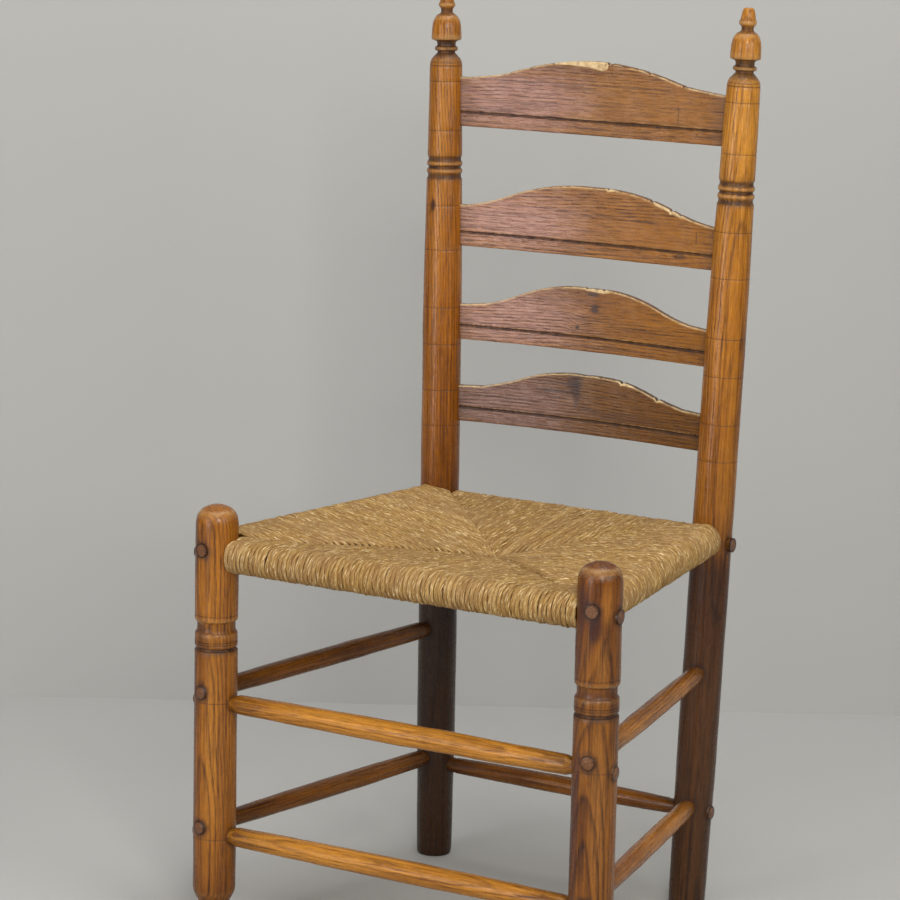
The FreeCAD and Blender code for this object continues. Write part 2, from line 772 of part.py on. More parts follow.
def wedge(name, way, outline, length, margin):
    """One panel: a section run along its rail, kept between the seams."""
    section = padded(name + "Section", "YZ_Plane", outline[0], outline[1:], length, True)
    place(section, railMiddles[way], "create(<<rotation>>; create(<<vector>>; 0; 0; 1); %s)" % turns[way])
    plan = plans[way]
    prism = padded(name + "Plan", "XY_Plane", plan[0], plan[1:], seatDepth, True)
    moveX, moveY = inwards[way]
    place(prism, (-margin * moveX, frontLine - margin * moveY, crossRailHeight))
    return combine("Part::MultiCommon", name + "Panel", [section, prism])


def rushPanel(way):
    level = railMiddles[way][2]
    quarter = roll * (1 - 0.5 ** 0.5)
    reach = reaches[way] + rushThickness
    outline = [
        (reach, dishBottom - level),
        (0, -roll, dishSwell),
        (-roll, 0, quarter),
        (0, roll, quarter),
        (reach, dishTop - level, dishSwell),
    ]
    return wedge(way + "Rush", way, outline, frontWidth + outward * 2, asSize(0))


def pocketPad(kind, way, spare):
    """Wedge of packing inside a panel, or with no spare its hollow."""
    level = railMiddles[way][2]
    start = railDia / 2 + rushGap + pocketWall + spare
    skin = rushThickness + spare
    reach = reaches[way]
    outline = [
        (start, skin - roll),
        (start, roll - skin),
        (reach, dishTop - level - skin),
        (reach, dishBottom - level + skin),
    ]
    rail = backWidth if way == "Back" else (frontWidth if way == "Front" else seatDepth)
    return wedge(way + kind, way, outline, rail - (frontPostDia + spare) * 2, (pocketSeam + spare) * 2)


ways = ("Front", "Back", "Left", "Right")
woven = combine("Part::MultiFuse", "WovenPanels", [rushPanel(way) for way in ways])
clearings = [pocketPad("Pocket", way, asSize(0)) for way in ways]
for word, side in sides:
    front = frontAxis(side, sideRailHeight)
    back = backAxis(side, sideRailHeight)
    tunnel = cylinder(word.capitalize() + "Tunnel", railDia / 2 + rushGap, distance(front, back))
    place(tunnel, front, pointing(front, back))
    frontColumn = cylinder(word.capitalize() + "FrontColumn", frontPostDia / 2 + rushGap, frontPostHeight)
    place(frontColumn, frontAxis(side, 0))
    backColumn = cylinder(word.capitalize() + "BackColumn", backPostDia / 2 + rushGap, backHeight)
    place(backColumn, backAxis(side, 0), pointing(backAxis(side, 0), backAxis(side, backHeight)))
    clearings += [tunnel, frontColumn, backColumn]
for name, axis in (("Front", frontAxis), ("Back", backAxis)):
    a = axis(-1, crossRailHeight)
    b = axis(1, crossRailHeight)
    tunnel = cylinder(name + "Tunnel", railDia / 2 + rushGap, distance(a, b))
    place(tunnel, a, pointing(a, b))
    clearings.append(tunnel)
clearing = combine("Part::MultiFuse", "SeatClearing", clearings)
finish(cut("RushSeat", woven, clearing), "rush_seat")
for way in ways:
    finish(pocketPad("Packing", way, rushGap), way.lower() + "_packing")

doc.recompute()

for item in doc.Objects:
    if "Invalid" in item.State or "Error" in item.State:
        raise RuntimeError("%s failed to build" % item.Label)

os.makedirs("parts", exist_ok=True)
for piece in pieces:
    shape = piece.Shape
    if shape.isNull() or not shape.isValid():
        raise RuntimeError("%s has no valid shape" % piece.Label)
    shape.exportStep("parts/%s.step" % piece.Label)
    print(piece.Label, len(shape.Solids), "solid,", round(shape.Volume), "cubic mm")
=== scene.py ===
import math
import random

import bpy
import numpy as np
from mathutils import Matrix, Vector


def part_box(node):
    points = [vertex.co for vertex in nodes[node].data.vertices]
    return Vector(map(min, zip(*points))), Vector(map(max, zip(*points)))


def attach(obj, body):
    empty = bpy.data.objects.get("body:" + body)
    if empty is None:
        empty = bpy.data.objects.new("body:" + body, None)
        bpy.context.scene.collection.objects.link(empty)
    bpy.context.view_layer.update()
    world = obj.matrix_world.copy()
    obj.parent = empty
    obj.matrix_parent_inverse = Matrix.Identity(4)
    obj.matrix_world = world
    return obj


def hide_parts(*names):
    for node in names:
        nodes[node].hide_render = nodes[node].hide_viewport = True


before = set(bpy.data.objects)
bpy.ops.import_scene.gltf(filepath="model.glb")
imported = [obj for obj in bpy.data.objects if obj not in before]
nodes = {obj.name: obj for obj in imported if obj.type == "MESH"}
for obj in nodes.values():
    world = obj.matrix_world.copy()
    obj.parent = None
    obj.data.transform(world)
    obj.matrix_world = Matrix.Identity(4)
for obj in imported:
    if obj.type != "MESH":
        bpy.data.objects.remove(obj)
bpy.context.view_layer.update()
scene = bpy.context.scene
print("frame loaded:", len(nodes), "nodes")


view = {
    "place": (1.82121, -3.18900, 1.23866),
    "right": (0.85935525, 0.51091955, 0.02167433),
    "up": (-0.11545845, 0.15256001, 0.98152676),
    "away": (-0.49817457, 0.84598266, -0.19009323),
    "lens": 137.93,
}

room = {
    "wallDistance": 4.56,          # level distance from the camera
    "wallColour": (0.44, 0.44, 0.42),
    "floorColour": (0.485, 0.482, 0.462),
}

lamps = {
    # name: (degrees round from the chair's front, distance, height, width, tall, watts, colour)
    "keyBox": (-17.5, 3.1, 1.0, 1.36, 2.0, 36, (1.0, 0.965, 0.98)),
    "cameraSide": (38, 3.6, 2.0, 1.0, 1.6, 62, (1.0, 0.98, 0.95)),
    "rightWall": (75, 3.0, 1.6, 1.6, 1.6, 26, (1.0, 1.0, 1.0)),
    "topSheet": (8, 0.9, 3.1, 2.6, 2.6, 34, (1.0, 1.0, 1.0)),
    "backdropLamp": (150, 0.9, 2.9, 2.6, 0.5, 22, (1.0, 1.0, 1.0)),
    "worldStrength": 0.16,
}

bpy.ops.object.select_all(action="DESELECT")
cameraData = bpy.data.cameras.new("photoCamera")
cameraData.lens = view["lens"]
cameraData.sensor_width = 36
cameraData.sensor_height = 36
cameraData.clip_end = 50
camera = bpy.data.objects.new("photoCamera", cameraData)
scene.collection.objects.link(camera)
camera.matrix_world = Matrix((
    (view["right"][0], view["up"][0], -view["away"][0], view["place"][0]),
    (view["right"][1], view["up"][1], -view["away"][1], view["place"][1]),
    (view["right"][2], view["up"][2], -view["away"][2], view["place"][2]),
    (0, 0, 0, 1),
))
scene.camera = camera
scene.view_settings.view_transform = "Standard"


class Knob:
    # wraps one socket, so that shader maths reads as plain expressions
    def __init__(self, tree, socket=None):
        self.tree = tree
        self.socket = socket

    def node(self, kind, settings=None, sockets=None, out=0):
        made = self.tree.nodes.new("ShaderNode" + kind)
        for key, value in (settings or {}).items():
            if key == "stops":
                stops = made.color_ramp.elements
                stops[0].position = value[0][0]
                stops[1].position = value[-1][0]
                for place, tone in value[1:-1]:
                    stops.new(place)
                for stop, (place, tone) in zip(stops, value):
                    stop.color = (*tone, 1)
            else:
                setattr(made, key, value)
        for key, value in (sockets or {}).items():
            if isinstance(value, Knob):
                self.tree.links.new(value.socket, made.inputs[key])
            elif isinstance(value, tuple) and made.inputs[key].type == "RGBA":
                made.inputs[key].default_value = (*value[:3], 1)
            else:
                made.inputs[key].default_value = value
        return Knob(self.tree, made.outputs[out])

    def maths(self, how, a, b=0.0):
        return self.node("Math", {"operation": how}, {0: a, 1: b})

    def __add__(self, other):
        return self.maths("ADD", self, other)

    def __sub__(self, other):
        return self.maths("SUBTRACT", self, other)

    def __rsub__(self, other):
        return self.maths("SUBTRACT", other, self)

    def __mul__(self, other):
        return self.maths("MULTIPLY", self, other)

    def __truediv__(self, other):
        return self.maths("DIVIDE", self, other)

    def __pow__(self, other):
        return self.maths("POWER", self, other)

    def __abs__(self):
        return self.maths("ABSOLUTE", self)

    __radd__ = __add__
    __rmul__ = __mul__

    def least(self, other):
        return self.maths("MINIMUM", self, other)

    def most(self, other):
        return self.maths("MAXIMUM", self, other)

    def fract(self):
        return self.maths("FRACT", self)

    def smooth(self, low, high, fromValue=0.0, toValue=1.0):
        return self.node("MapRange", {"interpolation_type": "SMOOTHSTEP"}, {
            "Value": self, "From Min": low, "From Max": high, "To Min": fromValue, "To Max": toValue})

    def blend(self, a, b, how="MIX"):
        # this number is the share of colour b over colour a
        return self.node("Mix", {"data_type": "RGBA", "blend_type": how}, {0: self, 6: a, 7: b}, 2)

    def parts(self):
        split = self.node("SeparateXYZ", {}, {0: self})
        outs = split.socket.node.outputs
        return [Knob(self.tree, out) for out in outs]

    def stretch(self, scale, shift=(0, 0, 0)):
        return self.node("Mapping", {}, {"Vector": self, "Scale": scale, "Location": shift})

    def farFrom(self, at, size):
        # distance from a place, counted in half sizes; both are given in mm
        near = self.stretch(tuple(1000 / s for s in size), tuple(-a / s for a, s in zip(at, size)))
        return near.node("VectorMath", {"operation": "LENGTH"}, {0: near}, "Value")

    def noise(self, scale, detail=3.0, rough=0.5):
        return self.node("TexNoise", {}, {
            "Vector": self, "Scale": scale, "Detail": detail, "Roughness": rough})


def newMaterial(name):
    material = bpy.data.materials.new(name)
    material.use_nodes = True
    tree = material.node_tree
    tree.nodes.clear()
    output = tree.nodes.new("ShaderNodeOutputMaterial")
    shader = tree.nodes.new("ShaderNodeBsdfPrincipled")
    tree.links.new(shader.outputs[0], output.inputs["Surface"])
    return material, shader, Knob(tree), output


def plug(shader, **sockets):
    # values and links for the shader's own sockets, spaces written as underscores
    for key, value in sockets.items():
        socket = shader.inputs[key.replace("_", " ")]
        if isinstance(value, Knob):
            value.tree.links.new(value.socket, socket)
        else:
            socket.default_value = value


def stagePlane(name, size, colour, see=False):
    bpy.ops.object.select_all(action="DESELECT")
    bpy.ops.mesh.primitive_plane_add(size=size)
    plane = bpy.context.active_object
    plane.name = name
    material, shader, start, output = newMaterial(name)
    spot = start.node("TexCoord", out="Object")
    cloud = spot.noise(0.9, 1.0)
    plug(shader, Base_Color=cloud.smooth(0.3, 0.7).blend(
        tuple(c * 0.985 for c in colour), tuple(min(1, c * 1.015) for c in colour)), Roughness=0.85)
    shader.inputs["Specular IOR Level"].default_value = 0.2
    if see:
        # the wall hides nothing from a camera that stands behind it
        back = start.node("NewGeometry", out="Backfacing")
        clear = start.node("BsdfTransparent")
        both = start.node("MixShader", {}, {0: back, 1: Knob(back.tree, shader.outputs[0]), 2: clear})
        back.tree.links.new(both.socket, output.inputs["Surface"])
    plane.data.materials.append(material)
    return plane


stagePlane("floor", 14, room["floorColour"])
wall = stagePlane("wall", 14, room["wallColour"], True)
place = Vector(view["place"])
away = Vector(view["away"])
level = Vector((away.x, away.y, 0)).normalized()
across = Vector((-level.y, level.x, 0)) * -1
wall.matrix_world = Matrix.Translation(Vector((place.x, place.y, 0)) + level * room["wallDistance"]) @ Matrix((
    (across.x, 0, -level.x, 0),
    (across.y, 0, -level.y, 0),
    (0, 1, 0, 0),
    (0, 0, 0, 1),
))

middle = Vector((0, 0, 0.5))
for name, value in lamps.items():
    if name == "worldStrength":
        continue
    aside, distance, height, width, tall, watts, colour = value
    lampData = bpy.data.lights.new(name, "AREA")
    lampData.shape = "RECTANGLE"
    lampData.size = width
    lampData.size_y = tall
    lampData.energy = watts
    lampData.color = colour
    lamp = bpy.data.objects.new(name, lampData)
    scene.collection.objects.link(lamp)
    turnRound = math.radians(aside)
    at = Vector((math.sin(turnRound) * distance, -math.cos(turnRound) * distance, height))
    aim = Vector((place.x, place.y, 0)) + level * room["wallDistance"] + Vector((0, 0, 0.8)) \
        if name == "backdropLamp" else middle
    lamp.matrix_world = Matrix.Translation(at) @ (aim - at).to_track_quat("-Z", "Y").to_matrix().to_4x4()

world = bpy.data.worlds.new("paleRoom")
scene.world = world
world.use_nodes = True
world.node_tree.nodes["Background"].inputs["Color"].default_value = (0.97, 0.985, 1.0, 1)
world.node_tree.nodes["Background"].inputs["Strength"].default_value = lamps["worldStrength"]
print("camera, room and lamps set")


def makeWood(name, look):
    material, shader, start, output = newMaterial(name)
    foot, head = Vector(look["from"]), Vector(look["to"])
    length = (head - foot).length
    turn = (head - foot).rotation_difference(Vector((0, 0, 1)))
    shift = -(turn.to_matrix() @ foot)
    spot = start.node("TexCoord", out="Object")
    board = start.node("Mapping", {}, {
        "Vector": spot, "Rotation": tuple(turn.to_euler()), "Location": tuple(shift)})
    x, y, z = board.parts()
    fromMiddle = z - length / 2
    if look.get("bow"):
        # the grain follows a bent board
        y = y + fromMiddle * fromMiddle * (look["bow"] / (length / 2) ** 2)
        board = start.node("CombineXYZ", {}, {0: x, 1: y, 2: z})

    # growth rings round a pith that lies outside the piece
    drift = board.stretch((6, 6, 2.4), look.get("seed", (0, 0, 0))).noise(1.0, 2.0)
    wobble = board.stretch((70, 70, 9)).noise(1.0, 2.0)
    leanX, leanY = look.get("lean", (0.012, 0.02))
    px, py = look.get("pith", (0.05, 0.09))
    acrossX, acrossY = x + z * leanX - px, y + z * leanY - py
    radius = (acrossX * acrossX + acrossY * acrossY) ** 0.5
    rings = (radius + drift * 0.03 + wobble * 0.002) / look.get("ring", 0.0032)
    for at, size, bulge in look.get("knots", ()):
        rings = rings + spot.farFrom(at, size).smooth(0.2, 2.6, bulge, 0.0)
    part = rings.fract()
    ringMask = ((1 - part / 0.5).most(0) ** 1.4 + part.smooth(0.86, 1.0) * 0.7).least(1)
    ringMask = ringMask * board.stretch((26, 26, 2.2), look.get("seed", (0, 0, 0))).noise(1.0, 2.0).smooth(
        0.32, 0.66, 0.25, 1.0)

    # open pores as short dark dashes, and longer streaks between them
    dashes = board.stretch((900, 900, 55)).noise(1.0, 2.0, 0.6).smooth(0.50, 0.58)
    dashes = dashes * (ringMask * 0.6 + 0.4)
    streaks = board.stretch((420, 420, 9), look.get("seed", (0, 0, 0))).noise(1.0, 3.0, 0.65)
    clouds = board.stretch((18, 18, 6), look.get("seed", (0, 0, 0))).noise(1.0, 3.0, 0.6)

    pale, mid, deep = look["pale"], look["mid"], look["deep"]
    colour = (clouds * 0.6 + streaks * 0.4).smooth(0.36, 0.62).blend(mid, pale)
    # painted light: broad bands of another tone below the grain, golden on the posts' lit faces and, on the slats, a
    # pink painted reflection on the left halves and gold on the right; in mm: place, half sizes, colour, share
    for at, size, tone, share in look.get("hazes", ()):
        reach = spot.farFrom(at, size) + (streaks - 0.5) * 0.8
        colour = reach.smooth(0.3, 1.25, share, 0.0).blend(colour, tone)
    colour = (ringMask * look.get("grain", 0.6)).blend(colour, deep)
    colour = streaks.smooth(0.32, 0.48, look.get("streak", 0.5), 0.0).blend(colour, deep)
    colour = streaks.smooth(0.56, 0.72, 0.0, 0.5).blend(colour, tuple(c * 1.35 for c in pale))
    colour = (dashes * look.get("dash", 0.65)).blend(colour, tuple(c * 0.6 for c in deep))

    # patches: knots and marks, and on the posts plum painted shade down their sides and at the collar; in mm: place,
    # half sizes, colour, share
    for at, size, tone, share in look.get("patches", ()):
        reach = spot.farFrom(at, size) + (streaks - 0.5) * 1.2
        colour = reach.smooth(0.45, 1.1, share, 0.0).blend(colour, tone)

    # tone by height, multiplied in: pairs of height in metres and tone; darker towards the floor, and on the back
    # posts the dark below the seat is partly painted shade from the seat
    if look.get("toneByHeight"):
        height = spot.parts()[2] + (clouds - 0.5) * 0.05 + (streaks - 0.5) * 0.02
        stops = [(h / 1.01, tone) for h, tone in look["toneByHeight"]]
        heightTone = start.node("ValToRGB", {"stops": stops}, {0: height / 1.01})
        colour = start.node("Mix", {"data_type": "RGBA", "blend_type": "MULTIPLY"},
                            {0: 1.0, 6: colour, 7: heightTone}, 2)

    # rungs are darker towards the posts, and their ends are end grain
    if look.get("rung"):
        fromEnd = length / 2 - abs(fromMiddle)
        darkening = (fromEnd + (streaks - 0.5) * 0.05).smooth(0.045, 0.12, 0.55, 0.0)
        colour = darkening.blend(colour, tuple(c * 0.55 for c in deep))
        cut = fromEnd.smooth(0.0008, 0.0022, 0.8, 0.0)
        rim = (x * x + y * y) ** 0.5
        grain = board.stretch((260, 900, 1)).noise(1.0, 2.0)
        face = grain.smooth(0.35, 0.65).blend((0.22, 0.095, 0.040), (0.10, 0.040, 0.018))
        colour = cut.blend(colour, rim.smooth(0.0054, 0.0074).blend(face, (0.020, 0.009, 0.006)))

    grime = start.node("Attribute", {"attribute_name": "grime"}, out="Fac")
    worn = start.node("Attribute", {"attribute_name": "worn"}, out="Fac")
    rub = spot.noise(120, 3.0, 0.65)
    # paler where marked: wear, and painted highlight on the posts' crests and the slats' front arris and moulding edge
    wearAndHighlightShare = (worn * rub.smooth(0.3, 0.6, 0.35, 1.0)).least(1)
    colour = wearAndHighlightShare.blend(colour, look.get("wornColour", (0.55, 0.33, 0.13)))
    # this darkening is dirt and painted shade: near black in the posts' grooves and hollows, round the rungs' holes,
    # and on the slats' groove, ends and top face
    colour = (grime * rub.smooth(0.3, 0.62, 1.0, 0.7)).least(1).blend(colour, (0.030, 0.013, 0.008))

    rough = look.get("rough", 0.2) + (ringMask + dashes) * 0.08 + rub.smooth(0.4, 0.7, 0.0, 0.1) + grime * 0.2
    height = ringMask * -0.35 - dashes * 1.0 + streaks * 0.4 + rub * 0.25
    bump = start.node("Bump", {}, {"Strength": 0.3, "Distance": 0.0006, "Height": height})
    plug(shader, Base_Color=colour, Roughness=rough, Normal=bump)
    shader.inputs["Specular IOR Level"].default_value = look.get("gloss", 0.34)
    return material


def ends(name):
    # middle points of a rung's or post's two ends, from its own mesh
    points = np.array([v.co[:] for v in nodes[name].data.vertices])
    size = points.max(0) - points.min(0)
    axis = int(size.argmax())
    low = points[points[:, axis] < points[:, axis].min() + 0.0035]
    high = points[points[:, axis] > points[:, axis].max() - 0.0035]
    return tuple((low.max(0) + low.min(0)) / 2), tuple((high.max(0) + high.min(0)) / 2)


def dress(name, material):
    node = nodes[name]
    if node.data.materials:
        for i in range(len(node.data.materials)):
            node.data.materials[i] = material
    else:
        node.data.materials.append(material)


def roughen(piece, size, depth):
    # slightly uneven surface, as hand work leaves it
    cloud = bpy.data.textures.new(piece.name + "Uneven", "CLOUDS")
    cloud.noise_scale = size
    cloud.noise_depth = 1
    uneven = piece.modifiers.new("uneven", "DISPLACE")
    uneven.texture = cloud
    uneven.texture_coords = "LOCAL"
    uneven.strength = depth
    uneven.mid_level = 0.5
    bpy.ops.object.modifier_apply(modifier=uneven.name)


def smoothStep(value, low, high):
    t = np.clip((value - low) / (high - low), 0, 1)
    return t * t * (3 - 2 * t)


def setMark(piece, word, values):
    layer = piece.data.attributes.new(word, "FLOAT", "POINT")
    layer.data.foreach_set("value", np.asarray(values, np.float32))


def turnPiece(name, foot, head, profile, scribes=(), darkening=((0, 0), (1, 0)), longest=5.0, steps=64):
    # profile: place along the piece and radius in mm; an edge chain, spun round its axis
    fine = []
    for (a, ra), (b, rb) in zip(profile, profile[1:]):
        count = max(1, math.ceil((b - a) / longest))
        fine += [(a + (b - a) * k / count, ra + (rb - ra) * k / count) for k in range(count)]
    fine.append(profile[-1])
    for at in scribes:
        here = float(np.interp(at, [p[0] for p in fine], [p[1] for p in fine]))
        fine = [p for p in fine if abs(p[0] - at) > 1.1]
        fine += [(at - 0.8, here), (at, here - 0.14), (at + 0.8, here)]
        fine.sort()
    bpy.ops.object.select_all(action="DESELECT")
    bpy.ops.mesh.primitive_plane_add(size=0.01)
    piece = bpy.context.active_object
    piece.name = name + "_turned"
    bpy.ops.object.mode_set(mode="EDIT")
    bpy.ops.mesh.select_all(action="SELECT")
    bpy.ops.mesh.merge(type="CENTER")
    last = Vector((0, 0, 0))
    for at, radius in fine + [(fine[-1][0], 0)]:
        point = Vector((radius, 0, at)) * 0.001
        bpy.ops.mesh.extrude_region_move(TRANSFORM_OT_translate={"value": point - last})
        last = point
    bpy.ops.mesh.select_all(action="SELECT")
    bpy.ops.mesh.spin(steps=steps, angle=2 * math.pi, center=(0, 0, 0), axis=(0, 0, 1))
    bpy.ops.mesh.select_all(action="SELECT")
    bpy.ops.mesh.remove_doubles(threshold=0.00001)
    bpy.ops.mesh.normals_make_consistent(inside=False)
    bpy.ops.object.mode_set(mode="OBJECT")
    along = Vector(head) - Vector(foot)
    lean = Vector((0, 0, 1)).rotation_difference(along).to_matrix().to_4x4()
    piece.matrix_world = Matrix.Translation(Vector(foot)) @ lean
    bpy.ops.object.transform_apply(location=True, rotation=True, scale=True)

    points = np.array([v.co[:] for v in piece.data.vertices]) - np.array(foot)
    axis = np.array(along.normalized())
    place = points @ axis * 1000
    table = np.array(fine)
    grid = np.arange(0, table[-1, 0] + 0.5, 0.5)
    radii = np.interp(grid, table[:, 0], table[:, 1])
    hull = np.array([min(radii[max(0, i - 8):i + 1].max(), radii[i:i + 9].max()) for i in range(len(grid))])
    mean = np.array([radii[max(0, i - 12):i + 13].mean() for i in range(len(grid))])
    depth = np.interp(place, grid, np.minimum(hull, radii + 6) - radii)
    proud = np.interp(place, grid, radii - mean)
    inside = (place > 4) & (place < table[-1, 0] - 3)
    # darker by the depth of each hollow below its neighbours and in the listed grooves: dirt and painted shade; the
    # scribed lines go dark the same way
    grime = np.maximum(smoothStep(depth, 0.1, 0.95), np.interp(place, *zip(*darkening))) * inside
    # crests paler: wear and painted highlight
    worn = smoothStep(proud, 0.25, 1.3) * 0.45 * inside
    for at in scribes:
        grime = np.maximum(grime, 0.85 * (np.abs(place - at) < 0.3))
    piece.data.materials.clear()
    return piece, grime, worn


def finishPiece(piece, name, material, grime, worn, angle=38):
    setMark(piece, "grime", grime)
    setMark(piece, "worn", worn)
    bpy.ops.object.shade_smooth_by_angle(angle=math.radians(angle))
    piece.data.materials.append(material)
    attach(piece, "root")
    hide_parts(name)


rungNames = [name for name in nodes if name.endswith("_stretcher") or name.endswith("_seat_rail")]
rungEnds = {name: ends(name) for name in rungNames}

honey = {"pale": (0.42, 0.154, 0.013), "mid": (0.25, 0.080, 0.005), "deep": (0.070, 0.019, 0.004)}
golden = {"pale": (0.56, 0.238, 0.030), "mid": (0.37, 0.136, 0.011), "deep": (0.11, 0.034, 0.006)}
russet = {"pale": (0.27, 0.094, 0.009), "mid": (0.14, 0.042, 0.005), "deep": (0.028, 0.008, 0.004)}

turning = {
    "frontFoot": [(0, 14.2), (0.8, 15.2), (2.8, 16.6), (8.3, 19.5), (11, 20.1), (15, 20.45), (18.2, 20.1),
                  (19.6, 19.2), (22.2, 18.3), (25, 17.5), (29, 17.5), (30, 19.6), (33.8, 21.4), (37.5, 22.9),
                  (41.3, 23.3), (46, 23.5)],
    "frontShaft": [(309.6, 23.45), (310.4, 23.1), (311.2, 21.6), (313.2, 21.3), (314.1, 22.5), (314.8, 23.1),
                   (317, 23.3), (317.6, 22.9), (318.2, 23.3), (319.7, 23.3), (320.3, 22.8), (320.9, 23.3),
                   (328.5, 23.2), (330, 22.7), (331.3, 21.5), (332.4, 20.95), (336, 20.85), (340.4, 20.9), (341.5, 21.2),
                   (342.5, 22.0), (343.4, 22.9), (344.2, 23.35), (345.4, 23.5)],
    "frontDome": [(440, 23.4), (451, 23.15), (455, 22.5), (458, 21.75), (461, 20.2), (463.6, 18.0), (466, 15.0),
                  (468, 11.0), (469.3, 7.0), (469.9, 3.0)],
    "backShaft": [(0, 18.8), (0.8, 19.4), (3, 20.1), (7, 20.5), (50, 21.05), (100, 21.55), (140, 22.0), (170, 22.3),
                  (400, 22.35), (630, 22.25), (700, 21.7), (750, 21.0), (787, 20.4)],
    "backRings": [(793.5, 20.3), (794.7, 20.2), (795.6, 19.4), (797.8, 18.8), (800, 19.0), (801, 19.6), (802, 20.2),
                  (803.5, 20.45), (805, 20.2), (806, 19.4), (806.7, 18.5), (808.5, 18.4), (809.3, 19.3), (810.2, 20.1),
                  (811.8, 20.4), (813.4, 20.1), (814.4, 19.5), (815.4, 18.8), (817.5, 18.5), (819.6, 18.9),
                  (820.6, 19.6), (821.6, 19.9)],
    "backNeck": [(830, 19.8), (860, 19.4), (900, 18.7), (920, 18.4), (922, 18.35), (922.9, 18.0), (923.8, 18.3),
                 (925.4, 18.1), (926.1, 17.6), (926.9, 17.7), (928.8, 17.1), (931.4, 15.5), (934, 13), (937.3, 9.9),
                 (939.2, 10.0), (940.0, 12.2), (941, 13.0), (943.4, 13.0), (944.3, 12.2), (944.9, 10.6), (947, 10.3),
                 (949, 10.6), (950.6, 11.6), (951.5, 14.2), (952.4, 16.5), (953.4, 16.9), (956, 16.95), (960, 16.75),
                 (966.6, 16.4), (970, 15.95), (973.1, 15.2), (976.4, 13.8), (978.3, 12.4), (980.3, 10.4), (981.2, 8.4),
                 (982.9, 6.7), (985.9, 6.5), (988.1, 7.5), (989.2, 8.8), (990.4, 9.35), (992.6, 9.4), (993.6, 8.9),
                 (994.3, 8.2), (999, 7.4), (1004, 6.3), (1006.2, 5.4), (1007, 4.2)],
}
backFoot = (0.16643, 0.16987)       # where the back posts' axes meet the floor, left and right alike
frontScribes = (100.2, 253.4, 349.5)
backScribes = (511.1, 552.0, 605.1, 647.4, 713.8, 764.4, 849.7, 905.4)
# dirt and painted shade in the turned grooves: place along the post in mm, and share
frontDirtAndShade = [(307, 0), (310.5, 0.9), (314, 0.9), (315, 0.1), (316.6, 0.1), (317.6, 0.8), (318.6, 0.1), (319.4, 0.1),
             (320.3, 0.8), (321.2, 0.1), (328, 0.1), (331, 0.45), (340, 0.35), (343, 0.1), (345, 0)]
backDirtAndShade = [(792, 0), (795.5, 0.9), (799, 0.95), (801.5, 0.25), (803.5, 0.05), (805.5, 0.3), (807, 1), (808.5, 1),
            (810, 0.3), (811.8, 0.05), (813.5, 0.3), (815.5, 0.95), (819, 0.95), (821, 0.2), (824, 0), (921.5, 0),
            (922.9, 0.8), (924, 0.1), (925.5, 0.2), (926.3, 0.7), (927.5, 0.2), (930, 0.45), (934, 0.85), (939.6, 1),
            (941, 0.5), (942.2, 0.1), (943.4, 0.5), (944.5, 1), (949.5, 1), (951.5, 0.7), (953.2, 0.15), (956, 0),
            (978, 0), (981, 0.75), (985, 0.85), (988, 0.5), (989.5, 0.05), (992.6, 0.05), (993.8, 0.6), (995, 0.1),
            (1003, 0), (1005, 0.5)]
untinted = (1.0, 1.0, 1.0)
# plum goes on the posts as painted shade down their sides and at the collar
paintedShadePlum = (0.085, 0.032, 0.024)
blackMark = (0.03, 0.01, 0.01)
